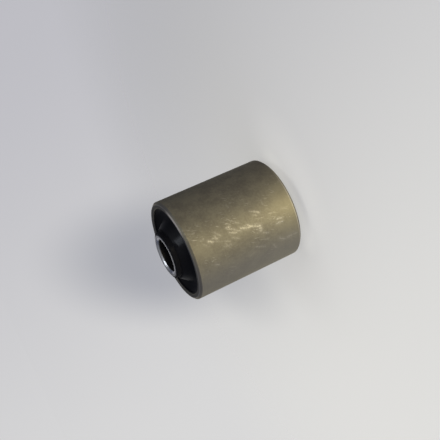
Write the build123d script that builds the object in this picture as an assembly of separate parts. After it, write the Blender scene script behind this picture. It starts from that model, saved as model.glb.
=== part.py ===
from build123d import *
import os

# Rubber metal bush: two plain steel tubes, one inside the other, held apart by a
# ring of rubber that is moulded between them and bonded to both.
#
# Millimetres. The bush stands on one end: Z is its axis, Z = 0 is half way along it,
# and both ends are alike. Every section below is drawn in the XZ half plane, where X
# is the radius, and turned once around Z.

# Outer sleeve, a tube that is pressed into the eye of an arm
OUTER_DIAMETER = 56.0
OUTER_WALL = 3.5
OUTER_LENGTH = 62.0
OUTER_CHAMFER = 1.2        # lead-in for the press, on the outside of both ends
OUTER_EDGE_BREAK = 0.4     # burr taken off the inside of both ends

# Inner sleeve, a tube that is clamped on the bolt between two lugs
INNER_DIAMETER = 24.0
BORE_DIAMETER = 18.2
INNER_STANDS_PROUD = 5.5   # past the outer sleeve, at both ends
BORE_CHAMFER = 1.0         # guides the bolt into both ends of the bore
INNER_EDGE_BREAK = 0.4     # on the outside of both ends

# Rubber over the inner sleeve: walls measured outwards from that sleeve, heights
# from the outer sleeve's end face
SKIN_WALL = 1.0            # film that the mould leaves up the inner sleeve
SKIN_SETBACK = 0.1         # bare steel between the film and the edge break
SKIN_CUT = 0.35
COLLAR_WALL = 1.9          # small step at the foot of the film
COLLAR_HEIGHT = 2.6
HUB_WALL = 3.4             # the hub slopes down from the collar to this wall
HUB_HEIGHT = 1.1
HUB_CUT = 0.4

# Groove that hollows each end of the rubber, between the hub and the liner
GROOVE_DEPTH = 4.4         # where its two flanks would meet, half way across
GROOVE_ROUND = 0.42        # radius at its bottom, for each millimetre of its width
LINER_WALL = 0.5           # film that the mould leaves inside the outer sleeve
LINER_FOOT_DEPTH = 1.4
LINER_SETBACK = 0.2        # bare steel between the liner and the edge break

OUTER_RADIUS = OUTER_DIAMETER / 2
OUTER_INSIDE_RADIUS = OUTER_RADIUS - OUTER_WALL
OUTER_END = OUTER_LENGTH / 2
BORE_RADIUS = BORE_DIAMETER / 2
INNER_RADIUS = INNER_DIAMETER / 2
INNER_END = OUTER_END + INNER_STANDS_PROUD


def turned(section):
    """Turn a closed section, drawn in the XZ half plane, once around Z."""
    return revolve(section, Axis.Z, 360)


def tube(inside_radius, outside_radius, length, inside_cut, outside_cut):
    """A plain tube, centred on Z = 0, with chamfered edges at both ends."""
    with BuildSketch(Plane.XZ) as section:
        with Locations(((inside_radius + outside_radius) / 2, 0)):
            Rectangle(outside_radius - inside_radius, length)
        corners = section.vertices()
        inner_corners = corners.group_by(Axis.X)[0]
        outer_corners = corners.group_by(Axis.X)[-1]
        chamfer(inner_corners, inside_cut)
        chamfer(outer_corners, outside_cut)
    return turned(section.sketch)


def outer_sleeve():
    """The tube that the eye of the arm grips."""
    return tube(OUTER_INSIDE_RADIUS, OUTER_RADIUS, 2 * OUTER_END,
                OUTER_EDGE_BREAK, OUTER_CHAMFER)


def inner_sleeve():
    """The longer tube that the bolt goes through."""
    return tube(BORE_RADIUS, INNER_RADIUS, 2 * INNER_END,
                BORE_CHAMFER, INNER_EDGE_BREAK)


def rubber_body():
    """The bonded ring, with a hub, a groove and two thin films at both ends."""
    film_radius = INNER_RADIUS + SKIN_WALL
    film_top = INNER_END - INNER_EDGE_BREAK - SKIN_SETBACK
    collar_top = OUTER_END + COLLAR_HEIGHT
    hub_radius = INNER_RADIUS + HUB_WALL
    hub_edge = (hub_radius, OUTER_END + HUB_HEIGHT)
    liner_radius = OUTER_INSIDE_RADIUS - LINER_WALL
    liner_top = OUTER_END - OUTER_EDGE_BREAK - LINER_SETBACK
    groove_foot = ((hub_radius + liner_radius) / 2, OUTER_END - GROOVE_DEPTH)
    groove_round = GROOVE_ROUND * (liner_radius - hub_radius)
    with BuildSketch(Plane.XZ) as section:
        with BuildLine():
            Polyline(
                (INNER_RADIUS, 0),
                (INNER_RADIUS, film_top),
                (film_radius - SKIN_CUT, film_top),
                (film_radius, film_top - SKIN_CUT),
                (film_radius, collar_top),
                (INNER_RADIUS + COLLAR_WALL, collar_top),
                hub_edge,
                groove_foot,
                (liner_radius, OUTER_END - LINER_FOOT_DEPTH),
                (liner_radius, liner_top),
                (OUTER_INSIDE_RADIUS, liner_top),
                (OUTER_INSIDE_RADIUS, 0),
                close=True,
            )
        make_face()
        chamfer(section.vertices().sort_by_distance(hub_edge)[0], HUB_CUT)
        fillet(section.vertices().sort_by_distance(groove_foot)[0], groove_round)
        mirror(about=Plane.XZ)
    return turned(section.sketch)


PARTS = {
    "outer_sleeve": outer_sleeve,
    "inner_sleeve": inner_sleeve,
    "rubber_body": rubber_body,
}

os.makedirs("parts", exist_ok=True)
for name, make in PARTS.items():
    export_step(make(), os.path.join("parts", name + ".step"))
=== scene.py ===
"""Looks for a rubber metal bush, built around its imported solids.

The bush stands on one end. Z is its axis, the frame's origin is its centre, and all
lengths are metres. Sizes that are written in millimetres are multiplied by MM.
"""

import logging
import math
from dataclasses import dataclass
from enum import Enum
from typing import Optional, Sequence, Union

import bmesh
import bpy
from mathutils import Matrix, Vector


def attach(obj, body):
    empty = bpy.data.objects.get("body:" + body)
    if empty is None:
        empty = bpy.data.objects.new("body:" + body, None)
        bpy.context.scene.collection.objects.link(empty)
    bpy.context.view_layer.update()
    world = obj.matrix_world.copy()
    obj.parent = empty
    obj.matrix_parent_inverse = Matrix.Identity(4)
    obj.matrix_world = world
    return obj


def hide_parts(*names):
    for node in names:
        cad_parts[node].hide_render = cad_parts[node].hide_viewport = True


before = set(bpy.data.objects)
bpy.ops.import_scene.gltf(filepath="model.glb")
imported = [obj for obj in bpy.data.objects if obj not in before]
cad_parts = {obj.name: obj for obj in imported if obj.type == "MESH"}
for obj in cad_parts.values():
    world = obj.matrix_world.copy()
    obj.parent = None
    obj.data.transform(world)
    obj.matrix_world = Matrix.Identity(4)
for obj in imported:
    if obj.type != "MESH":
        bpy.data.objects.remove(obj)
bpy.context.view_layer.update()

log = logging.getLogger("bush")

MM = 0.001

# The two sleeves, in millimetres: radii, and heights of their ends above the middle
PRESS_RADIUS = 28.0
PRESS_BORE = 24.5
PRESS_END = 31.0
PRESS_CHAMFER = 1.2
BOLT_RADIUS = 12.0
BOLT_BORE = 9.1
BOLT_END = 36.5
BOLT_CHAMFER = 1.0

# How finely the pieces are turned, and what counts as one point or one smooth curve
SEGMENTS = 192
SMOOTH_UNDER = math.radians(24.0)
SAME_POINT = 0.001 * MM
STRAY_POINT = 0.0005 * MM

Colour = tuple[float, float, float]
Point = tuple[float, float]
Triple = tuple[float, float, float]
Step = tuple[float, float, float, float]
Round = tuple[float, int]
Socket = bpy.types.NodeSocket
Source = Union[Socket, float, Sequence[float]]
Sockets = dict[str, Socket]


# ---------------------------------------------------------------- modelling by hand


class Bench:
    """Selecting and finishing, shared by every piece that is modelled here."""

    @staticmethod
    def clear() -> None:
        """Deselects every object, so that the next operator acts on its own piece."""
        bpy.ops.object.select_all(action="DESELECT")

    @staticmethod
    def pick(spot: Vector) -> None:
        """Selects the vertex at one spot, on the mesh in edit mode.

        Args:
            spot: Where the vertex is.
        """
        bpy.ops.mesh.select_mode(type="VERT")
        bpy.ops.mesh.select_all(action="DESELECT")
        data = bpy.context.edit_object.data
        for vertex in bmesh.from_edit_mesh(data).verts:
            vertex.select_set((vertex.co - spot).length < SAME_POINT)
        bmesh.update_edit_mesh(data)

    @staticmethod
    def finish(piece: bpy.types.Object, name: str) -> bpy.types.Object:
        """Closes the work on a piece: clean normals, smooth curves and a name.

        Args:
            piece: The piece, which is the active object.
            name: Its name, which its mesh gets too.

        Returns:
            The same piece.
        """
        bpy.ops.object.mode_set(mode="EDIT")
        bpy.ops.mesh.select_all(action="SELECT")
        bpy.ops.mesh.remove_doubles(threshold=STRAY_POINT)
        bpy.ops.mesh.normals_make_consistent(inside=False)
        if bmesh.from_edit_mesh(piece.data).calc_volume(signed=True) < 0:
            bpy.ops.mesh.flip_normals()
        bpy.ops.object.mode_set(mode="OBJECT")
        bpy.ops.object.transform_apply(location=True, rotation=True, scale=True)
        bpy.ops.object.shade_smooth_by_angle(angle=SMOOTH_UNDER)
        piece.name = name
        piece.data.name = name
        return piece


# ---------------------------------------------------------------- shader nodes


def opaque(source: Source) -> Source:
    """Gives a plain colour its alpha, and leaves a socket as it is."""
    return source if isinstance(source, Socket) else (*source, 1.0)


@dataclass(frozen=True)
class Patch:
    """A soft oval patch, full in its core and nothing beyond its half lengths.

    The core is a share of its size, the strength is what a user of the patch makes of
    it, and the turn is in degrees.
    """

    at: Triple
    size: Triple
    core: float
    strength: float = 1.0
    turn: Triple = (0.0, 0.0, 0.0)


class Sheet:
    """Lays nodes out on one tree and joins them."""

    ROW: int = 8
    SPACING: Point = (220.0, -260.0)

    def __init__(self, tree: bpy.types.NodeTree) -> None:
        """Starts on a tree, whose nodes are placed in rows."""
        self.tree = tree

    def add(self, kind: str, **settings: object) -> bpy.types.Node:
        """Adds a node and sets its own properties.

        Args:
            kind: The node's type.
            **settings: Properties of the node, such as operation.

        Returns:
            The node.
        """
        node = self.tree.nodes.new(kind)
        row, column = divmod(len(self.tree.nodes), self.ROW)
        node.location = (self.SPACING[0] * column, self.SPACING[1] * row)
        for name, value in settings.items():
            setattr(node, name, value)
        return node

    def feed(self, socket: Socket, source: Source) -> None:
        """Joins a socket to another one, or sets it to a plain value.

        Args:
            socket: The socket that is fed.
            source: What it gets.
        """
        if isinstance(source, Socket):
            self.tree.links.new(source, socket)
        else:
            socket.default_value = source

    def split(self, vector: Source) -> Sequence[Socket]:
        """Takes a vector apart.

        Args:
            vector: The vector.

        Returns:
            Its X, Y and Z.
        """
        node = self.add("ShaderNodeSeparateXYZ")
        self.feed(node.inputs[0], vector)
        return node.outputs

    def join(self, *sources: Source) -> Socket:
        """Puts a vector together from its X, Y and Z.

        Args:
            *sources: Up to three numbers.

        Returns:
            The vector.
        """
        node = self.add("ShaderNodeCombineXYZ")
        for socket, source in zip(node.inputs, sources):
            self.feed(socket, source)
        return node.outputs[0]

    def length(self, vector: Source) -> Socket:
        """Measures a vector.

        Args:
            vector: The vector.

        Returns:
            Its length.
        """
        node = self.add("ShaderNodeVectorMath", operation="LENGTH")
        self.feed(node.inputs[0], vector)
        return node.outputs["Value"]

    def math(self, operation: str, *sources: Source) -> Socket:
        """Does one step of arithmetic on numbers.

        Args:
            operation: The Math node's operation.
            *sources: The numbers that it works on.

        Returns:
            The result.
        """
        node = self.add("ShaderNodeMath", operation=operation)
        for socket, source in zip(node.inputs, sources):
            self.feed(socket, source)
        return node.outputs[0]

    def both(self, first: Source, second: Source) -> Socket:
        """Makes the overlap of two masks, or a share of one."""
        return self.math("MULTIPLY", first, second)

    def either(self, first: Source, second: Source) -> Socket:
        """Joins two masks."""
        return self.math("MAXIMUM", first, second)

    def span(self, first: Source, second: Source) -> Socket:
        """Measures how far two steps at right angles lead."""
        square = self.math("MULTIPLY", second, second)
        return self.math("SQRT", self.math("MULTIPLY_ADD", first, first, square))

    def layers(self, start: Source, *steps: tuple[Source, float]) -> Socket:
        """Adds shares of several masks to a starting value.

        Args:
            start: The value under all the masks.
            *steps: Each mask, and what it adds where it is 1.

        Returns:
            The sum.
        """
        for mask, share in steps:
            start = self.math("MULTIPLY_ADD", mask, share, start)
        return start

    def ramp(
        self, value: Source, low: Source, high: Source, start: float = 0.0, end: float = 1.0
    ) -> Socket:
        """Turns a value between low and high into a smooth step from start to end.

        Args:
            value: The value.
            low: Where the step starts.
            high: Where it ends, which may lie below low.
            start: The result at low.
            end: The result at high.

        Returns:
            The result.
        """
        node = self.add("ShaderNodeMapRange", interpolation_type="SMOOTHSTEP")
        for socket, source in zip(node.inputs, (value, low, high, start, end)):
            self.feed(socket, source)
        return node.outputs[0]

    def blend(self, share: Source, first: Source, second: Source) -> Socket:
        """Mixes two colours.

        Args:
            share: How much of the second colour there is.
            first: The colour at a share of 0.
            second: The colour at a share of 1.

        Returns:
            The mixed colour.
        """
        node = self.add("ShaderNodeMix", data_type="RGBA")
        self.feed(node.inputs[0], share)
        self.feed(node.inputs[6], opaque(first))
        self.feed(node.inputs[7], opaque(second))
        return node.outputs[2]

    def noise(
        self, place: Source, scale: Source, detail: float = 2.0, roughness: float = 0.5
    ) -> Socket:
        """Makes cloudy noise around one half.

        Args:
            place: The point that is tested.
            scale: How many clouds there are to a metre.
            detail: How many times the noise is refined.
            roughness: How strong the finer noise is.

        Returns:
            The noise.
        """
        node = self.add("ShaderNodeTexNoise")
        self.feed(node.inputs["Vector"], place)
        self.feed(node.inputs["Scale"], scale)
        self.feed(node.inputs["Detail"], detail)
        self.feed(node.inputs["Roughness"], roughness)
        return node.outputs["Fac"]

    def place(self) -> Socket:
        """The point on the piece, in metres."""
        return self.add("ShaderNodeTexCoord").outputs["Object"]

    def patch(self, place: Source, patch: Patch) -> Socket:
        """Makes the mask of a soft patch.

        Args:
            place: The point that is tested.
            patch: The patch.

        Returns:
            The mask, without the patch's strength.
        """
        fit = self.add("ShaderNodeMapping", vector_type="TEXTURE")
        turned = [math.radians(angle) for angle in patch.turn]
        for socket, source in zip(fit.inputs, (place, patch.at, turned, patch.size)):
            self.feed(socket, source)
        return self.ramp(self.length(fit.outputs[0]), 1.0, patch.core)

    def group(self, tree: bpy.types.NodeTree, **sources: Source) -> Sockets:
        """Places a shared effect and feeds its inputs.

        Args:
            tree: The effect's node group.
            **sources: What each named input gets.

        Returns:
            The effect's outputs by name.
        """
        node = self.add("ShaderNodeGroup", node_tree=tree)
        for name, source in sources.items():
            self.feed(node.inputs[name], source)
        return {socket.name: socket for socket in node.outputs}


class Kind(Enum):
    """What the input of a shared effect carries."""

    NUMBER = "NodeSocketFloat"
    VECTOR = "NodeSocketVector"


class Effects:
    """Shader node groups that several finishes use, each built once."""

    def __init__(self) -> None:
        """Builds every group."""
        self.axial = self._axial()
        self.lathe = self._lathe()
        self.mottle = self._mottle()
        self.hairlines = self._hairlines()
        self.ring = self._ring()
        self.arc = self._arc()
        self.scuff = self._scuff()

    @staticmethod
    def _start(
        name: str, outputs: Sequence[str] = ("Mask",), **inputs: Kind
    ) -> tuple[Sheet, Sockets, Sockets]:
        """Opens a new group with its sockets.

        Args:
            name: The group's name.
            outputs: Names of the outputs, which are all numbers.
            **inputs: What each named input carries.

        Returns:
            The sheet, and the inputs and the outputs by name.
        """
        tree = bpy.data.node_groups.new(name, "ShaderNodeTree")
        for label, kind in inputs.items():
            tree.interface.new_socket(label, in_out="INPUT", socket_type=kind.value)
        for label in outputs:
            tree.interface.new_socket(label, in_out="OUTPUT", socket_type=Kind.NUMBER.value)
        sheet = Sheet(tree)
        into = sheet.add("NodeGroupInput").outputs
        out = sheet.add("NodeGroupOutput").inputs
        return sheet, dict(into.items()), dict(out.items())

    @classmethod
    def _axial(cls) -> bpy.types.NodeTree:
        """Radius, signed height, height from the middle and way round of a point.

        Returns:
            The node group.
        """
        sheet, _, out = cls._start("axial place", ("Radius", "Height", "Rise", "Round"))
        x, y, z = sheet.split(sheet.place())
        sheet.feed(out["Radius"], sheet.span(x, y))
        sheet.feed(out["Height"], z)
        sheet.feed(out["Rise"], sheet.math("ABSOLUTE", z))
        front = sheet.math("MULTIPLY", y, -1.0)
        sheet.feed(out["Round"], sheet.math("ARCTAN2", x, front))
        return sheet.tree

    def _lathe(self) -> bpy.types.NodeTree:
        """Fine lines round the axis, as a tool or a die leaves them.

        Returns:
            The node group.
        """
        wander_scale, stretch, detail, roughness = 90.0, 0.02 * MM, 3.0, 0.65
        sheet, into, out = self._start(
            "lathe lines", ("Height",), Lines=Kind.NUMBER, Drift=Kind.NUMBER
        )
        at = sheet.group(self.axial)
        wander = sheet.math("MULTIPLY", sheet.noise(sheet.place(), wander_scale), into["Drift"])
        wander = sheet.math("MULTIPLY", wander, MM)
        joined = sheet.join(
            sheet.math("ADD", at["Radius"], wander),
            sheet.math("MULTIPLY", at["Round"], stretch),
            sheet.math("ADD", at["Height"], wander),
        )
        sheet.feed(out["Height"], sheet.noise(joined, into["Lines"], detail, roughness))
        return sheet.tree

    @classmethod
    def _mottle(cls) -> bpy.types.NodeTree:
        """Clouds of two sizes, spread to the full range.

        Returns:
            The node group.
        """
        low, high, detail, roughness = 0.32, 0.68, 4.0, 0.55
        sheet, into, out = cls._start(
            "mottle", Broad=Kind.NUMBER, Fine=Kind.NUMBER, Share=Kind.NUMBER
        )
        both = sheet.add("ShaderNodeMix", data_type="FLOAT")
        sheet.feed(both.inputs[0], into["Share"])
        for socket, label in zip(both.inputs[2:4], ("Broad", "Fine")):
            clouds = sheet.noise(sheet.place(), into[label], detail, roughness)
            sheet.feed(socket, sheet.ramp(clouds, low, high))
        sheet.feed(out["Mask"], both.outputs[0])
        return sheet.tree

    @classmethod
    def _hairlines(cls) -> bpy.types.NodeTree:
        """Short thin scratches that lean round the piece, closed all the way round it.

        Returns:
            The node group.
        """
        soft, detail, roughness = 0.07, 1.0, 0.4
        sheet, into, out = cls._start(
            "hairlines",
            Lean=Kind.NUMBER, Across=Kind.NUMBER, Along=Kind.NUMBER, Least=Kind.NUMBER,
        )
        place = sheet.place()
        twist = sheet.add("ShaderNodeVectorRotate", rotation_type="Z_AXIS")
        sheet.feed(twist.inputs["Vector"], place)
        height = sheet.split(place)[2]
        sheet.feed(twist.inputs["Angle"], sheet.math("MULTIPLY", height, into["Lean"]))
        scaled = sheet.add("ShaderNodeVectorMath", operation="MULTIPLY")
        sheet.feed(scaled.inputs[0], twist.outputs[0])
        sheet.feed(scaled.inputs[1], sheet.join(into["Across"], into["Across"], into["Along"]))
        grain = sheet.noise(scaled.outputs[0], 1.0, detail, roughness)
        most = sheet.math("ADD", into["Least"], soft)
        sheet.feed(out["Mask"], sheet.ramp(grain, into["Least"], most))
        return sheet.tree

    def _ring(self) -> bpy.types.NodeTree:
        """A band round a circle of the section, strongest on the circle itself.

        Returns:
            The node group.
        """
        sheet, into, out = self._start(
            "ring band", Radius=Kind.NUMBER, Rise=Kind.NUMBER, Reach=Kind.NUMBER
        )
        at = sheet.group(self.axial)
        across = sheet.math("SUBTRACT", at["Radius"], into["Radius"])
        along = sheet.math("SUBTRACT", at["Rise"], into["Rise"])
        share = sheet.math("DIVIDE", sheet.span(across, along), into["Reach"])
        sheet.feed(out["Mask"], sheet.ramp(share, 1.0, 0.0))
        return sheet.tree

    def _arc(self) -> bpy.types.NodeTree:
        """A part of the way round the axis, in degrees from the front.

        Returns:
            The node group.
        """
        half_turn = 180.0
        sheet, into, out = self._start(
            "part of the way round", Middle=Kind.NUMBER, Full=Kind.NUMBER, Ends=Kind.NUMBER
        )
        turn = sheet.math("DEGREES", sheet.group(self.axial)["Round"])
        turn = sheet.math("SUBTRACT", turn, into["Middle"])
        away = sheet.math("PINGPONG", turn, half_turn)
        sheet.feed(out["Mask"], sheet.ramp(away, into["Ends"], into["Full"]))
        return sheet.tree

    @classmethod
    def _scuff(cls) -> bpy.types.NodeTree:
        """One short rubbed stroke on an unrolled surface, with a faint halo.

        Returns:
            The node group.
        """
        core_edge: Point = (0.75, 0.25)
        halo_edge: Step = (2.0, 0.4, 0.0, 0.30)
        sheet, into, out = cls._start(
            "scuff mark",
            Place=Kind.VECTOR, Centre=Kind.VECTOR, Turn=Kind.VECTOR,
            Half=Kind.NUMBER, Wide=Kind.NUMBER, Strength=Kind.NUMBER,
        )
        fit = sheet.add("ShaderNodeMapping", vector_type="TEXTURE")
        for socket, label in zip(fit.inputs, ("Place", "Centre", "Turn")):
            sheet.feed(socket, into[label])
        across, along, _ = sheet.split(fit.outputs[0])
        past = sheet.math("SUBTRACT", sheet.math("ABSOLUTE", along), into["Half"])
        past = sheet.math("MAXIMUM", past, 0.0)
        away = sheet.math("DIVIDE", sheet.span(across, past), into["Wide"])
        mask = sheet.either(sheet.ramp(away, *core_edge), sheet.ramp(away, *halo_edge))
        sheet.feed(out["Mask"], sheet.both(mask, into["Strength"]))
        return sheet.tree


# ---------------------------------------------------------------- finishes


@dataclass(frozen=True)
class Clouds:
    """Mottling: broad and fine clouds to a metre, and the share of the fine ones."""

    broad: float
    fine: float
    share: float


@dataclass(frozen=True)
class Lines:
    """Lines round the axis: how many to a metre, and their drift in millimetres."""

    lines: float
    drift: float


@dataclass(frozen=True)
class Hairs:
    """Thin scratches: their lean, how fine they are both ways, and the least that shows."""

    lean: float
    across: float
    along: float
    least: float


@dataclass(frozen=True)
class Arc:
    """A part of the way round, in degrees: its middle, and how far it is full and ends."""

    middle: float
    full: float
    ends: float


@dataclass(frozen=True)
class Ring:
    """A band round a circle of the section, in millimetres."""

    radius: float
    rise: float
    reach: float


@dataclass(frozen=True)
class Scuff:
    """A rubbed mark on the outer sleeve, in millimetres and degrees.

    It lies so far across and up from the middle of the sleeve's front.
    """

    across: float
    up: float
    length: float
    turn: float
    width: float
    strength: float


def by_input(settings: object, unit: float = 1.0) -> dict[str, float]:
    """Names settings as a group's inputs are named, and multiplies them by their unit."""
    return {name.capitalize(): value * unit for name, value in vars(settings).items()}


class Coat(Sheet):
    """The sheet of one new material."""

    def __init__(self, name: str) -> None:
        """Makes a material that holds its own shader only.

        Args:
            name: The material's name.
        """
        self.material = bpy.data.materials.new(name)
        self.material.use_nodes = True
        super().__init__(self.material.node_tree)

    def dress(self, sources: dict[str, Source]) -> bpy.types.Material:
        """Feeds the shader's own sockets, each with another socket or a plain value.

        Args:
            sources: What each named socket gets.

        Returns:
            The finished material.
        """
        shader = self.tree.nodes["Principled BSDF"]
        for name, source in sources.items():
            self.feed(shader.inputs[name], source)
        return self.material


class PieceCoat(Coat):
    """The sheet of a piece's material, with the shared effects at hand."""

    def __init__(self, name: str, effects: Effects, clouds: Clouds, lines: Lines) -> None:
        """Makes the material, with its mottling and its lines.

        Args:
            name: The material's name.
            effects: The shared node groups.
            clouds: The mottling, whose mask is kept.
            lines: The lines round the axis, whose height is kept.
        """
        super().__init__(name)
        self.effects = effects
        self.at = self.group(effects.axial)
        self.mottle = self.group(effects.mottle, **by_input(clouds))["Mask"]
        self.lines = self.group(effects.lathe, **by_input(lines))["Height"]

    def hairs(self, hairs: Hairs) -> Socket:
        """Makes the mask of thin scratches."""
        return self.group(self.effects.hairlines, **by_input(hairs))["Mask"]

    def arc(self, arc: Arc) -> Socket:
        """Makes the mask of a part of the way round."""
        return self.group(self.effects.arc, **by_input(arc))["Mask"]

    def ring(self, ring: Ring) -> Socket:
        """Makes the mask of a band round the section."""
        return self.group(self.effects.ring, **by_input(ring, MM))["Mask"]

    def scuff(self, scuff: Scuff, unrolled: Socket) -> Socket:
        """Makes the mask of one rubbed mark.

        Args:
            scuff: The mark.
            unrolled: The point on the unrolled surface that is tested.

        Returns:
            The mask.
        """
        return self.group(
            self.effects.scuff,
            Place=unrolled,
            Centre=(scuff.across * MM, scuff.up * MM, 0.0),
            Turn=(0.0, 0.0, -math.radians(scuff.turn)),
            Half=0.5 * scuff.length * MM,
            Wide=scuff.width * MM,
            Strength=scuff.strength,
        )["Mask"]

    def band(
        self, length: Source, low: float, high: float, start: float = 0.0, end: float = 1.0
    ) -> Socket:
        """Makes the same step as ramp, from a length, with its limits in millimetres."""
        return self.ramp(length, low * MM, high * MM, start, end)

    def relief(self, height: Source, depth: float, strength: float) -> Socket:
        """Raises a height as bump.

        Args:
            height: Height between 0 and 1.
            depth: What a height of 1 stands for, in millimetres.
            strength: Share of the bump that is used.

        Returns:
            The normal.
        """
        bump = self.add("ShaderNodeBump")
        self.feed(bump.inputs["Strength"], strength)
        self.feed(bump.inputs["Distance"], depth * MM)
        self.feed(bump.inputs["Height"], height)
        return bump.outputs[0]


LONG_RUB = (
    Scuff(-3.5, -0.5, 5.0, 15.0, 0.90, 0.65),
    Scuff(-4.5, -5.0, 5.0, 20.0, 0.95, 0.65),
    Scuff(-5.5, -7.5, 2.0, 30.0, 1.15, 0.80),
    Scuff(-6.5, -8.2, 1.5, 90.0, 1.30, 0.80),
    Scuff(-7.7, -8.0, 1.2, -55.0, 1.05, 0.60),
    Scuff(-3.0, -2.5, 1.5, 45.0, 0.75, 0.70),
)
RUBS_BESIDE_IT = (
    Scuff(0.5, 8.0, 2.0, 10.0, 0.80, 0.65),
    Scuff(-1.0, 7.0, 4.0, 25.0, 0.75, 0.50),
    Scuff(-3.0, 4.0, 4.0, 30.0, 0.70, 0.50),
    Scuff(-2.0, 5.5, 2.5, 35.0, 0.65, 0.45),
    Scuff(-3.0, 6.5, 3.5, 20.0, 0.80, 0.55),
    Scuff(0.5, 2.5, 2.0, 25.0, 0.65, 0.25),
    Scuff(3.5, 6.0, 3.0, 30.0, 0.55, 0.30),
    Scuff(1.5, 3.5, 4.5, 40.0, 0.60, 0.30),
    Scuff(-6.0, 11.0, 3.0, 25.0, 0.75, 0.30),
    Scuff(-8.0, 11.5, 3.5, 0.0, 0.75, 0.30),
    Scuff(-8.0, 11.5, 3.0, 65.0, 0.65, 0.25),
    Scuff(-6.0, 6.5, 3.5, 30.0, 0.80, 0.30),
)
THREE_STROKES = (
    Scuff(2.5, -7.5, 3.0, 30.0, 0.65, 0.45),
    Scuff(1.5, -9.5, 3.0, 35.0, 0.80, 0.65),
    Scuff(0.5, -8.0, 1.5, 25.0, 0.65, 0.40),
)
TICKS_NEAR_THE_TOP = (
    Scuff(0.0, 15.0, 1.5, 65.0, 0.70, 0.45),
    Scuff(-1.0, 14.0, 2.0, 50.0, 0.70, 0.40),
    Scuff(-2.0, 16.5, 2.5, 20.0, 0.70, 0.45),
    Scuff(-2.0, 16.0, 1.5, 90.0, 0.85, 0.55),
    Scuff(-2.5, 19.5, 2.0, 30.0, 0.90, 0.80),
    Scuff(-4.0, 16.0, 5.5, 25.0, 0.65, 0.25),
    Scuff(-2.0, 19.0, 2.5, 25.0, 0.55, 0.30),
    Scuff(0.0, 23.0, 2.0, -20.0, 0.70, 0.30),
    Scuff(-3.5, 22.0, 2.5, 40.0, 0.65, 0.25),
)
STROKES_NEAR_THE_FOOT = (
    Scuff(-6.5, -20.0, 2.5, 5.0, 0.80, 0.65),
    Scuff(-8.5, -18.5, 2.0, 5.0, 0.80, 0.65),
    Scuff(-8.5, -20.0, 2.0, 0.0, 0.90, 0.80),
    Scuff(-2.5, -24.0, 2.5, 20.0, 0.65, 0.30),
    Scuff(-18.0, -19.0, 4.0, 35.0, 0.95, 0.40),
    Scuff(-18.5, -23.5, 2.5, 0.0, 1.60, 0.35),
    Scuff(-18.5, -25.5, 3.0, 0.0, 1.35, 0.30),
)
STRAY_MARKS = (
    Scuff(-10.5, -10.5, 3.0, 25.0, 0.75, 0.40),
    Scuff(-14.0, -10.0, 2.0, 20.0, 0.65, 0.30),
    Scuff(-16.5, -5.5, 5.5, 25.0, 0.75, 0.35),
    Scuff(-20.5, -14.0, 3.0, 65.0, 0.85, 0.30),
    Scuff(-15.0, 20.0, 2.0, 35.0, 0.80, 0.40),
    Scuff(5.0, -14.5, 2.0, -85.0, 0.65, 0.30),
    Scuff(10.5, 3.0, 1.5, 75.0, 0.85, 0.25),
    Scuff(-18.5, -0.5, 3.5, -20.0, 0.85, 0.15),
)
SCUFFS: tuple[Scuff, ...] = (
    LONG_RUB + RUBS_BESIDE_IT + THREE_STROKES
    + TICKS_NEAR_THE_TOP + STROKES_NEAR_THE_FOOT + STRAY_MARKS
)


@dataclass(frozen=True)
class Finish:
    """What every finish shares.

    In a finish, lengths are millimetres, and parts of the way round are degrees from the
    front. A step is where it starts and ends, and what it gives there if not 0 and 1.
    """

    name: str
    clouds: Clouds
    lines: Lines

    def start(self, effects: Effects) -> PieceCoat:
        """Starts the finish's material."""
        return PieceCoat(self.name, effects, self.clouds, self.lines)


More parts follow.
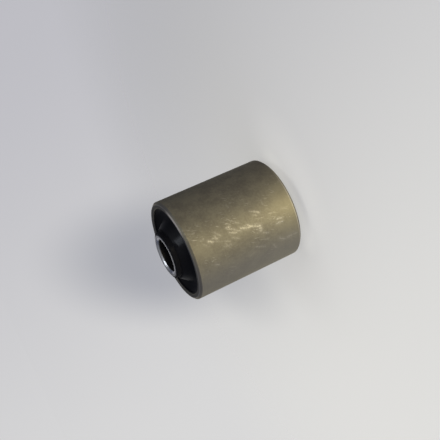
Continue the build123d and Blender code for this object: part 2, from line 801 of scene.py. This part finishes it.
@dataclass(frozen=True)
class PhosphatedSteel(Finish):
    """Dull olive coating on drawn tube, rubbed through in places."""

    metallic: float = 0.47
    sheen: float = 0.80
    gloss: Colour = (1.0, 0.88, 0.55)

    # The coating: how it is mottled and streaked, with a painted highlight in front near the
    # foot and a painted reflection greying it underneath
    olive: Colour = (0.235, 0.219, 0.148)
    brown: Colour = (0.130, 0.118, 0.088)
    clouds: Clouds = Clouds(150.0, 850.0, 0.45)
    olive_clouds: Step = (0.0, 1.0, 0.20, 0.80)
    lines: Lines = Lines(2600.0, 0.25)
    olive_streaks: Step = (0.35, 0.65, 0.0, 0.25)
    faded: Colour = (0.380, 0.340, 0.190)
    fades: Step = (-6.0, -30.0, 0.0, 0.30)
    front: Arc = Arc(-6.0, 15.0, 60.0)
    greyed: Colour = (0.205, 0.205, 0.182)
    grey_share: float = 0.45
    underneath: Arc = Arc(-62.0, 6.0, 46.0)

    # Where it is rubbed: how the marks bend and break up, and where hairlines gather; the
    # rubbed colour also paints a highlight on the lower chamfer's edge
    rubbed: Colour = (0.460, 0.438, 0.345)
    bend_scale: float = 400.0
    bend: float = 1.2
    shake_scale: float = 1800.0
    shake: float = 1.1
    break_scale: float = 1500.0
    breaks: Step = (0.38, 0.60, 0.35, 1.0)
    gather_scale: float = 110.0
    gathers: Step = (0.46, 0.62, 0.02, 0.30)
    gathers_in_front: Point = (1.15, 0.45)
    hairs: tuple[Hairs, ...] = (
        Hairs(-9.0, 2300.0, 210.0, 0.67),
        Hairs(-17.0, 1700.0, 380.0, 0.66),
        Hairs(5.0, 1500.0, 520.0, 0.68),
    )
    skin: Point = (PRESS_RADIUS - 0.4, PRESS_RADIUS - 0.2)

    # The chamfers: painted dark at the foot as shade, paler at the top, mostly coated in front,
    # and with a painted highlight where the lower one starts
    chamfered: Colour = (0.150, 0.143, 0.122)
    stained: Colour = (0.040, 0.039, 0.036)
    turned: Point = (PRESS_END - PRESS_CHAMFER - 0.1, PRESS_END - PRESS_CHAMFER + 0.2)
    top: Point = (-10.0, 10.0)
    coated: Arc = Arc(10.0, 16.0, 44.0)
    bares: Step = (0.0, 1.0, 1.0, 0.30)
    foot: Ring = Ring(PRESS_RADIUS, PRESS_END - PRESS_CHAMFER - 0.25, 0.45)
    foot_rubs: Step = (0.5, 0.0, 0.0, 0.75)

    # The end face: sawn bare, with a pale edge that carries a painted highlight on one side
    cut: Colour = (0.085, 0.084, 0.088)
    bare: Point = (PRESS_END - 0.12, PRESS_END - 0.04)
    edge: Colour = (0.250, 0.243, 0.222)
    rim: Ring = Ring(PRESS_RADIUS - 1.25, PRESS_END, 0.5)
    worn: Colour = (0.860, 0.800, 0.690)
    wear: Ring = Ring(PRESS_RADIUS - 1.7, PRESS_END, 1.15)
    wears_at: Arc = Arc(31.0, 8.0, 24.0)

    # Roughness, and what is added to it
    roughness: float = 0.535
    on_mottle: float = 0.05
    dulls: Step = (-14.0, 16.0, 0.0, 0.07)
    on_marks: float = -0.12
    on_chamfer: float = -0.12
    on_rim: float = -0.16

    # Relief: the share of the mottling in it, its depth, and how much of it is used
    mottled_relief: float = 0.3
    relief_depth: float = 0.01
    relief_share: float = 0.5

    def make(self, effects: Effects) -> bpy.types.Material:
        """Builds the material.

        Args:
            effects: The shared node groups.

        Returns:
            The material.
        """
        sheet = self.start(effects)
        front = sheet.arc(self.front)
        marks = self._marks(sheet, front)
        turned = sheet.band(sheet.at["Rise"], *self.turned)
        rim = sheet.ring(self.rim)
        coat = sheet.blend(marks, self._coating(sheet, front), self.rubbed)
        coat = self._chamfer(sheet, coat, turned, front)
        coat = self._end(sheet, coat, rim)
        rough = sheet.layers(
            self.roughness,
            (sheet.mottle, self.on_mottle),
            (sheet.band(sheet.at["Height"], *self.dulls), 1.0),
            (marks, self.on_marks),
            (turned, self.on_chamfer),
            (rim, self.on_rim),
        )
        relief = sheet.layers(sheet.lines, (sheet.mottle, self.mottled_relief))
        return sheet.dress({
            "Base Color": coat,
            "Roughness": rough,
            "Metallic": self.metallic,
            "Specular IOR Level": self.sheen,
            "Specular Tint": opaque(self.gloss),
            "Normal": sheet.relief(relief, self.relief_depth, self.relief_share),
        })

    def _coating(self, sheet: PieceCoat, front: Socket) -> Socket:
        """Colours the coating of the whole sleeve, with a painted highlight and a painted
        reflection.

        Args:
            sheet: The material's sheet.
            front: The mask of the front.

        Returns:
            The colour.
        """
        olive = sheet.ramp(sheet.mottle, *self.olive_clouds)
        coat = sheet.blend(olive, self.brown, self.olive)
        coat = sheet.blend(sheet.ramp(sheet.lines, *self.olive_streaks), coat, self.olive)
        # A painted highlight in front, stronger towards the foot.
        faded = sheet.band(sheet.at["Height"], *self.fades)
        coat = sheet.blend(sheet.both(faded, front), coat, self.faded)
        # A greyer tint on one side: painted reflection of pale light.
        under = sheet.arc(self.underneath)
        return sheet.blend(sheet.both(under, self.grey_share), coat, self.greyed)

    def _chamfer(self, sheet: PieceCoat, coat: Socket, turned: Socket, front: Socket) -> Socket:
        """Colours the chamfers, with painted shade on the lower one and a painted highlight
        where it starts.

        Args:
            sheet: The material's sheet.
            coat: The colour so far.
            turned: The mask of what lies past the start of a chamfer.
            front: The mask of the front.

        Returns:
            The colour.
        """
        top = sheet.band(sheet.at["Height"], *self.top)
        bared = sheet.ramp(sheet.arc(self.coated), *self.bares)
        # The lower chamfer is painted dark, as shade.
        chamfer = sheet.blend(top, self.stained, self.chamfered)
        coat = sheet.blend(sheet.both(turned, bared), coat, chamfer)
        # A painted highlight along the edge where the lower chamfer starts.
        edge_highlight = sheet.both(sheet.ring(self.foot), sheet.ramp(top, *self.foot_rubs))
        return sheet.blend(sheet.both(edge_highlight, front), coat, self.rubbed)

    def _end(self, sheet: PieceCoat, coat: Socket, rim: Socket) -> Socket:
        """Colours the end faces, with a painted highlight on one side of the pale edge.

        Args:
            sheet: The material's sheet.
            coat: The colour so far.
            rim: The mask of the pale edge.

        Returns:
            The colour.
        """
        coat = sheet.blend(sheet.band(sheet.at["Rise"], *self.bare), coat, self.cut)
        coat = sheet.blend(rim, coat, self.edge)
        # A painted highlight on one side of the pale edge.
        worn = sheet.both(sheet.ring(self.wear), sheet.arc(self.wears_at))
        return sheet.blend(worn, coat, self.worn)

    def _marks(self, sheet: PieceCoat, front: Socket) -> Socket:
        """Rubs the skin of the sleeve, in marks and in the hairlines round them.

        Args:
            sheet: The material's sheet.
            front: The mask of the front.

        Returns:
            The mask of what is rubbed.
        """
        place, reach = sheet.place(), self.bend * MM
        bend = sheet.noise(place, self.bend_scale)
        bend = sheet.math("MULTIPLY_ADD", bend, reach, -0.5 * reach)
        shake = sheet.math("SUBTRACT", sheet.noise(place, self.shake_scale), 0.5)
        shake = sheet.math("MULTIPLY_ADD", shake, self.shake * MM, bend)
        unrolled = sheet.join(
            sheet.math("MULTIPLY_ADD", sheet.at["Round"], PRESS_RADIUS * MM, shake),
            sheet.math("ADD", sheet.at["Height"], bend),
        )
        found: Optional[Socket] = None
        for scuff in SCUFFS:
            mask = sheet.scuff(scuff, unrolled)
            found = mask if found is None else sheet.either(found, mask)
        breaks = sheet.ramp(sheet.noise(place, self.break_scale), *self.breaks)
        found = sheet.both(found, breaks)
        gathers = sheet.ramp(sheet.noise(place, self.gather_scale), *self.gathers)
        share = sheet.math("MULTIPLY_ADD", front, *self.gathers_in_front)
        gathers = sheet.both(gathers, share)
        for hairs in self.hairs:
            mask = sheet.both(sheet.hairs(hairs), gathers)
            found = sheet.either(found, mask)
        return sheet.both(found, sheet.band(sheet.at["Radius"], *self.skin))


@dataclass(frozen=True)
class TurnedSteel(Finish):
    """Bare steel, faced on a lathe and reamed."""

    metallic: float = 1.0

    # The metal: how its turning is mottled and streaked, and dimmer on one side of its ends
    bright: Colour = (0.88, 0.86, 0.80)
    dull: Colour = (0.61, 0.59, 0.55)
    clouds: Clouds = Clouds(180.0, 1500.0, 0.5)
    dull_share: float = 0.6
    lines: Lines = Lines(5200.0, 0.08)
    dull_streaks: Step = (0.4, 0.7, 0.0, 0.3)
    shaded: Colour = (0.27, 0.27, 0.25)
    shaded_at: Arc = Arc(210.0, 30.0, 80.0)
    faced: Step = (BOLT_END - 0.30, BOLT_END - 0.05, 0.0, 0.85)

    # The bore, painted near black as shade, the bright lip at its mouth, and the rubber smeared
    # on the outer wall
    bore: Colour = (0.045, 0.043, 0.040)
    inside: Point = (BOLT_BORE + 0.25, BOLT_BORE + 0.02)
    burnished: Colour = (0.92, 0.92, 0.93)
    lip: Ring = Ring(BOLT_BORE + 0.6 * BOLT_CHAMFER, BOLT_END - 0.4 * BOLT_CHAMFER, 1.2)
    smear: Colour = (0.020, 0.020, 0.022)
    ragged: float = 0.25
    smeared: Point = (BOLT_RADIUS - 0.32, BOLT_RADIUS - 0.12)

    # Roughness, and what is added to it
    roughness: float = 0.20
    on_mottle: float = 0.09
    in_bore: float = 0.30
    on_lip: float = 0.06
    on_smear: float = 0.20

    # Relief of the turning: its depth, and how much of it is used
    relief_depth: float = 0.012
    relief_share: float = 0.6

    def make(self, effects: Effects) -> bpy.types.Material:
        """Builds the material.

        Args:
            effects: The shared node groups.

        Returns:
            The material.
        """
        sheet = self.start(effects)
        radius = sheet.at["Radius"]
        dulled = sheet.both(sheet.mottle, self.dull_share)
        coat = sheet.blend(dulled, self.bright, self.dull)
        coat = sheet.blend(sheet.ramp(sheet.lines, *self.dull_streaks), coat, self.dull)
        faced = sheet.band(sheet.at["Rise"], *self.faced)
        shaded = sheet.both(sheet.arc(self.shaded_at), faced)
        coat = sheet.blend(shaded, coat, self.shaded)
        # The bore is painted near black, as the shade inside it.
        inside = sheet.band(radius, *self.inside)
        coat = sheet.blend(inside, coat, self.bore)
        lip = sheet.ring(self.lip)
        coat = sheet.blend(lip, coat, self.burnished)
        ragged = sheet.layers(radius, (sheet.mottle, self.ragged * MM))
        smeared = sheet.band(ragged, *self.smeared)
        coat = sheet.blend(smeared, coat, self.smear)
        rough = sheet.layers(
            self.roughness,
            (sheet.mottle, self.on_mottle),
            (inside, self.in_bore),
            (lip, self.on_lip),
            (smeared, self.on_smear),
        )
        return sheet.dress({
            "Base Color": coat,
            "Roughness": rough,
            "Metallic": self.metallic,
            "Normal": sheet.relief(sheet.lines, self.relief_depth, self.relief_share),
        })


@dataclass(frozen=True)
class MouldedRubber(Finish):
    """Black rubber as it leaves the mould: satin, with a little bloom."""

    sheen: float = 0.15
    black: Colour = (0.0040, 0.0040, 0.0045)
    bloom: Colour = (0.0110, 0.0110, 0.0125)
    bloom_share: float = 0.5
    clouds: Clouds = Clouds(140.0, 1300.0, 0.45)

    # Roughness, and what is added to it, as on part of the groove and on the inner film
    roughness: float = 0.46
    on_mottle: float = 0.08
    polished_at: Arc = Arc(13.0, 4.0, 13.0)
    flank: Point = (22.5, 20.0)
    on_polish: float = -0.32
    film: Point = (14.3, 13.7)
    on_film: float = 0.25

    # Relief: grain, lines left by the mould and their share, its depth, how much is used
    grain_scale: float = 2400.0
    grain: Point = (3.0, 0.6)
    lines: Lines = Lines(2200.0, 0.2)
    line_share: float = 0.4
    relief_depth: float = 0.02
    relief_share: float = 0.45

    def make(self, effects: Effects) -> bpy.types.Material:
        """Builds the material.

        Args:
            effects: The shared node groups.

        Returns:
            The material.
        """
        sheet = self.start(effects)
        radius = sheet.at["Radius"]
        bloom = sheet.both(sheet.mottle, self.bloom_share)
        polish = sheet.both(sheet.arc(self.polished_at), sheet.band(radius, *self.flank))
        rough = sheet.layers(
            self.roughness,
            (sheet.mottle, self.on_mottle),
            (polish, self.on_polish),
            (sheet.band(radius, *self.film), self.on_film),
        )
        grain = sheet.noise(sheet.place(), self.grain_scale, *self.grain)
        relief = sheet.layers(grain, (sheet.lines, self.line_share))
        return sheet.dress({
            "Base Color": sheet.blend(bloom, self.black, self.bloom),
            "Roughness": rough,
            "Specular IOR Level": self.sheen,
            "Normal": sheet.relief(relief, self.relief_depth, self.relief_share),
        })


# ---------------------------------------------------------------- the bush


@dataclass(frozen=True)
class Corner:
    """A corner of a section in millimetres: where it is, and how round."""

    radius: float
    height: float
    round_by: float = 0.0
    segments: int = 1

    @property
    def spot(self) -> Vector:
        """The corner's place on the XZ plane, in metres."""
        return Vector((self.radius * MM, 0.0, self.height * MM))


@dataclass(frozen=True)
class Turned:
    """A round piece that is alike at both ends, made from the upper half of its section.

    The section starts at the inner wall on the middle plane, and ends at the outer wall
    on the same plane. Sizes are millimetres.
    """

    name: str
    slot: str

    def section(self) -> tuple[Corner, ...]:
        """The upper half of the section, from the inner wall to the outer wall."""
        raise NotImplementedError

    def build(self) -> bpy.types.Object:
        """Draws the section, rounds its corners, spins it and mirrors it.

        Returns:
            The finished mesh object.
        """
        corners = self.section()
        Bench.clear()
        bpy.ops.mesh.primitive_plane_add(size=MM, location=(0.0, 0.0, 0.0))
        piece = bpy.context.object
        bpy.ops.object.mode_set(mode="EDIT")
        bpy.ops.mesh.select_mode(type="VERT")
        bpy.ops.mesh.select_all(action="SELECT")
        bpy.ops.mesh.merge(type="CENTER")
        bpy.ops.transform.translate(value=corners[0].spot)
        for here, after in zip(corners, corners[1:]):
            step = after.spot - here.spot
            bpy.ops.mesh.extrude_region_move(TRANSFORM_OT_translate={"value": step})
        for corner in corners:
            if corner.round_by:
                Bench.pick(corner.spot)
                bpy.ops.mesh.bevel(
                    affect="VERTICES", offset=corner.round_by * MM, segments=corner.segments
                )
        bpy.ops.mesh.select_all(action="SELECT")
        bpy.ops.mesh.spin(
            steps=SEGMENTS, angle=math.tau, center=(0.0, 0.0, 0.0), axis=(0.0, 0.0, 1.0)
        )
        bpy.ops.mesh.select_all(action="SELECT")
        bpy.ops.mesh.remove_doubles(threshold=SAME_POINT)
        bpy.ops.object.mode_set(mode="OBJECT")
        bpy.ops.object.modifier_add(type="MIRROR")
        mirror = piece.modifiers[-1]
        mirror.use_axis = (False, False, True)
        mirror.merge_threshold = SAME_POINT
        bpy.ops.object.modifier_apply(modifier=mirror.name)
        return Bench.finish(piece, self.name)


@dataclass(frozen=True)
class SteelTube(Turned):
    """A steel tube, cut to length, with both rims cut and softened.

    Each round is a radius and its segments.
    """

    radius: float
    bore: float
    half_length: float
    outside_cut: float
    inside_cut: float
    rim_round: Round
    edge_round: Round = (0.12, 3)

    def section(self) -> tuple[Corner, ...]:
        """Up the bore, over the rim and down the outside.

        Returns:
            The corners.
        """
        end = self.half_length
        return (
            Corner(self.bore, 0.0),
            Corner(self.bore, end - self.inside_cut, *self.edge_round),
            Corner(self.bore + self.inside_cut, end, *self.edge_round),
            Corner(self.radius - self.outside_cut, end, *self.rim_round),
            Corner(self.radius, end - self.outside_cut, *self.edge_round),
            Corner(self.radius, 0.0),
        )


@dataclass(frozen=True)
class RubberBody(Turned):
    """The bonded rubber, with a hub, a groove and two thin films at both ends.

    Each round is a radius and its segments.
    """

    inner_wall: float = BOLT_RADIUS
    outer_wall: float = PRESS_BORE
    skin: float = 1.0
    skin_end: float = 36.0
    skin_round: Round = (0.38, 4)
    collar: float = 1.9
    collar_end: float = 33.6
    collar_foot_round: Round = (0.25, 3)
    collar_round: Round = (0.35, 4)
    hub: float = 3.4
    hub_end: float = 32.1
    hub_round: Round = (0.45, 5)
    groove_radius: float = 19.7
    groove_end: float = 26.6
    groove_round: Round = (3.40, 14)
    lining: float = 0.5
    lining_foot: float = 29.6
    lining_foot_round: Round = (0.30, 3)
    lining_end: float = 30.4
    lining_round: Round = (0.20, 3)

    def section(self) -> tuple[Corner, ...]:
        """Up the inner sleeve, over collar and hub, through the groove, up the lining.

        Returns:
            The corners.
        """
        inner, outer = self.inner_wall, self.outer_wall
        return (
            Corner(inner, 0.0),
            Corner(inner, self.skin_end),
            Corner(inner + self.skin, self.skin_end, *self.skin_round),
            Corner(inner + self.skin, self.collar_end, *self.collar_foot_round),
            Corner(inner + self.collar, self.collar_end, *self.collar_round),
            Corner(inner + self.hub, self.hub_end, *self.hub_round),
            Corner(self.groove_radius, self.groove_end, *self.groove_round),
            Corner(outer - self.lining, self.lining_foot, *self.lining_foot_round),
            Corner(outer - self.lining, self.lining_end, *self.lining_round),
            Corner(outer, self.lining_end),
            Corner(outer, 0.0),
        )


@dataclass(frozen=True)
class Bush:
    """The whole bush: two steel sleeves with rubber bonded between them."""

    outer: SteelTube = SteelTube(
        "press_sleeve", "outer_steel",
        radius=PRESS_RADIUS, bore=PRESS_BORE, half_length=PRESS_END,
        outside_cut=PRESS_CHAMFER, inside_cut=0.4, rim_round=(0.35, 4),
    )
    inner: SteelTube = SteelTube(
        "bolt_sleeve", "inner_steel",
        radius=BOLT_RADIUS, bore=BOLT_BORE, half_length=BOLT_END,
        outside_cut=0.4, inside_cut=BOLT_CHAMFER, rim_round=(0.12, 4),
    )
    rubber: RubberBody = RubberBody("bonded_rubber", "rubber")

    def build(self, effects: Effects) -> None:
        """Builds and dresses every piece, and ties it to the frame.

        Args:
            effects: The shared node groups.
        """
        dressed = (
            (self.outer, PhosphatedSteel("phosphated steel"), "outer_sleeve"),
            (self.inner, TurnedSteel("turned steel"), "inner_sleeve"),
            (self.rubber, MouldedRubber("moulded rubber"), "rubber_body"),
        )
        for maker, finish, node in dressed:
            piece = maker.build()
            piece.data.materials.clear()
            piece.data.materials.append(finish.make(effects))
            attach(piece, "root")
            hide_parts(node)
            log.info("%s: %d faces, stands for %s", piece.name, len(piece.data.polygons), node)


# ---------------------------------------------------------------- stage


@dataclass(frozen=True)
class Floor:
    """A pale floor, which takes the bush's shadow and melts into the backdrop.

    It glows a little, to come out as pale as the backdrop: painted light, which fades out under
    the bush as painted shade and is dimmed by a painted shadow behind it.
    Two soft patches of painted light weaken the shadow, under the overhang and beside it.
    """

    height: float = -BOLT_END * MM
    width: float = 12.0
    colour: Colour = (0.80, 0.780, 0.690)
    roughness: float = 0.9
    sheen: float = 0.1
    tilt: float = 0.20
    glow: Step = (0.20, -0.20, 0.11, 0.63)
    glow_starts: Point = (0.004, 0.030)
    shade: Patch = Patch((-0.045, 0.12, 0.0), (0.04, 0.10, 1.0), core=0.2, strength=0.45)
    lights: tuple[Patch, ...] = (
        Patch((0.012, -0.022, 0.0), (0.050, 0.035, 1.0), core=0.3, strength=0.08),
        Patch((-0.001, -0.009, 0.0), (0.035, 0.018, 1.0), core=0.4, strength=0.28),
    )
    fades: Step = (0.04, 0.42, 0.62, 0.01)

    def build(self) -> None:
        """Lays the floor, which only the camera sees."""
        Bench.clear()
        bpy.ops.mesh.primitive_plane_add(size=self.width, location=(0.0, 0.0, self.height))
        floor = bpy.context.object
        floor.name = "floor"
        floor.visible_shadow = False
        floor.visible_glossy = False
        floor.visible_diffuse = False
        floor.data.materials.append(self._finish())

    def _finish(self) -> bpy.types.Material:
        """Builds the floor's material.

        Returns:
            The material.
        """
        sheet = Coat("pale floor")
        place = sheet.place()
        away = sheet.length(place)
        x, y, _ = sheet.split(place)
        glow = sheet.ramp(sheet.math("MULTIPLY_ADD", y, self.tilt, x), *self.glow)
        # Painted shadow: a patch behind the bush, and the glow fading out under it.
        unshaded = sheet.layers(1.0, (sheet.patch(place, self.shade), -self.shade.strength))
        glow = sheet.both(glow, unshaded)
        glow = sheet.both(glow, sheet.ramp(away, *self.glow_starts))
        lights = [(sheet.patch(place, light), light.strength) for light in self.lights]
        return sheet.dress({
            "Base Color": opaque(self.colour),
            "Roughness": self.roughness,
            "Specular IOR Level": self.sheen,
            "Emission Color": opaque(self.colour),
            "Emission Strength": sheet.layers(glow, *lights),
            "Alpha": sheet.ramp(away, *self.fades),
        })


@dataclass(frozen=True)
class Surround:
    """What lies all round: a pale backdrop for the eye and gloss, and dimmer even light.

    A pair is where something starts and where it is full, on the X, Y or Z of a direction.
    """

    backdrop_dim: Colour = (0.512, 0.510, 0.550)
    backdrop_pale: Colour = (0.692, 0.690, 0.690)
    backdrop_starts: Point = (0.36, -0.36)
    backdrop_tilt: float = 0.25
    shade: Colour = (0.405, 0.412, 0.450)
    shade_patch: Patch = Patch(
        (-0.016, 0.968, -0.250), (0.205, 0.110, 0.5), core=0.28, turn=(126.5, 65.0, -145.0)
    )
    unlit: Colour = (0.043, 0.051, 0.082)
    ceiling_starts: Point = (0.02, 0.36)
    dark_side_starts: Point = (0.25, 0.80)
    overhead: Colour = (0.175, 0.180, 0.190)
    overhead_starts: Point = (0.40, 0.90)
    light_dim: Colour = (0.022, 0.034, 0.165)
    light_pale: Colour = (0.228, 0.270, 0.640)
    light_starts: Point = (1.0, -1.0)
    light_behind: Colour = (0.150, 0.150, 0.165)
    behind_starts: Point = (-0.05, 0.70)
    skylight: Colour = (0.400, 0.405, 0.420)

    def build(self) -> None:
        """Makes the world and sets it."""
        world = bpy.data.worlds.new("surround")
        world.use_nodes = True
        bpy.context.scene.world = world
        sheet = Sheet(world.node_tree)
        towards = sheet.add("ShaderNodeTexCoord").outputs["Generated"]
        ray = sheet.add("ShaderNodeLightPath").outputs
        overhead = sheet.ramp(sheet.split(towards)[2], *self.overhead_starts)
        backdrop = self._backdrop(sheet, towards, overhead, ray["Is Camera Ray"])
        light = self._light(sheet, towards, overhead)
        seen = sheet.either(ray["Is Camera Ray"], ray["Is Glossy Ray"])
        seen = sheet.either(seen, ray["Is Transmission Ray"])
        background = world.node_tree.nodes["Background"]
        sheet.feed(background.inputs["Color"], sheet.blend(seen, light, backdrop))

    def _backdrop(
        self, sheet: Sheet, towards: Socket, overhead: Socket, by_eye: Socket
    ) -> Socket:
        """Colours what the eye and gloss see.

        Args:
            sheet: The world's sheet.
            towards: The direction that is looked in.
            overhead: The mask of what is overhead.
            by_eye: Whether the eye looks, and not gloss.

        Returns:
            The colour.
        """
        x, _, z = sheet.split(towards)
        slope = sheet.math("MULTIPLY_ADD", z, self.backdrop_tilt, x)
        pale = sheet.ramp(slope, *self.backdrop_starts)
        backdrop = sheet.blend(pale, self.backdrop_dim, self.backdrop_pale)
        # A painted shadow in the backdrop, which only the eye sees.
        shade = sheet.both(sheet.patch(towards, self.shade_patch), by_eye)
        backdrop = sheet.blend(shade, backdrop, self.shade)
        above = sheet.ramp(z, *self.ceiling_starts)
        beside = sheet.ramp(x, *self.dark_side_starts)
        by_gloss = sheet.math("SUBTRACT", 1.0, by_eye)
        dark = sheet.both(sheet.either(above, beside), by_gloss)
        return sheet.blend(dark, backdrop, sheet.blend(overhead, self.unlit, self.overhead))

    def _light(self, sheet: Sheet, towards: Socket, overhead: Socket) -> Socket:
        """Colours the even light that falls on the bush.

        Args:
            sheet: The world's sheet.
            towards: The direction that it comes from.
            overhead: The mask of what is overhead.

        Returns:
            The colour.
        """
        x, y, _ = sheet.split(towards)
        light = sheet.blend(sheet.ramp(x, *self.light_starts), self.light_dim, self.light_pale)
        behind = sheet.ramp(y, *self.behind_starts)
        light = sheet.blend(behind, light, self.light_behind)
        return sheet.blend(overhead, light, self.skylight)


@dataclass(frozen=True)
class Lamp:
    """A soft box: its direction from the bush, distance, size, power and colour."""

    name: str
    direction: Triple
    distance: float
    size: Point
    power: float
    colour: Colour

    def place(self) -> None:
        """Adds the lamp, facing the bush, its long side upright."""
        data = bpy.data.lights.new(self.name, "AREA")
        data.shape = "RECTANGLE"
        data.size, data.size_y = self.size
        data.energy = self.power
        data.color = self.colour
        lamp = bpy.data.objects.new(self.name, data)
        lamp.visible_camera = False
        bpy.context.scene.collection.objects.link(lamp)
        towards = Vector(self.direction).normalized()
        lamp.location = towards * self.distance
        lamp.rotation_mode = "QUATERNION"
        lamp.rotation_quaternion = towards.to_track_quat("Z", "Y")


@dataclass(frozen=True)
class Camera:
    """The camera, tipped over so that the standing bush lies on its side in view."""

    at: Triple = (0.0054, -0.3749, 0.1299)
    turn: Triple = (-50.05, 59.47, -144.19)
    lens: float = 60.0
    nearest: float = 0.01

    def place(self) -> None:
        """Adds the camera and makes it the scene's own."""
        data = bpy.data.cameras.new("camera")
        data.lens = self.lens
        data.clip_start = self.nearest
        camera = bpy.data.objects.new("camera", data)
        camera.location = self.at
        camera.rotation_euler = [math.radians(angle) for angle in self.turn]
        bpy.context.scene.collection.objects.link(camera)
        bpy.context.scene.camera = camera


@dataclass(frozen=True)
class Studio:
    """A pale floor, a pale surround, soft lamps and the camera."""

    floor: Floor = Floor()
    surround: Surround = Surround()
    camera: Camera = Camera()
    lamps: tuple[Lamp, ...] = (
        Lamp("key", (-0.16, -0.93, -0.26), 1.6, (0.6, 1.5), 20.0, (1.0, 0.885, 0.60)),
        Lamp("window", (0.42, -0.28, 0.86), 1.6, (0.95, 0.40), 3.7, (0.86, 0.92, 1.0)),
    )

    def build(self) -> None:
        """Sets the whole stage."""
        self.floor.build()
        self.surround.build()
        for lamp in self.lamps:
            lamp.place()
        self.camera.place()
        bpy.context.scene.view_settings.view_transform = "Standard"


def main() -> None:
    """Builds the bush and its stage."""
    logging.basicConfig(level=logging.INFO, format="%(name)s: %(message)s")
    Studio().build()
    Bush().build(Effects())


if __name__ == "__main__":
    main()
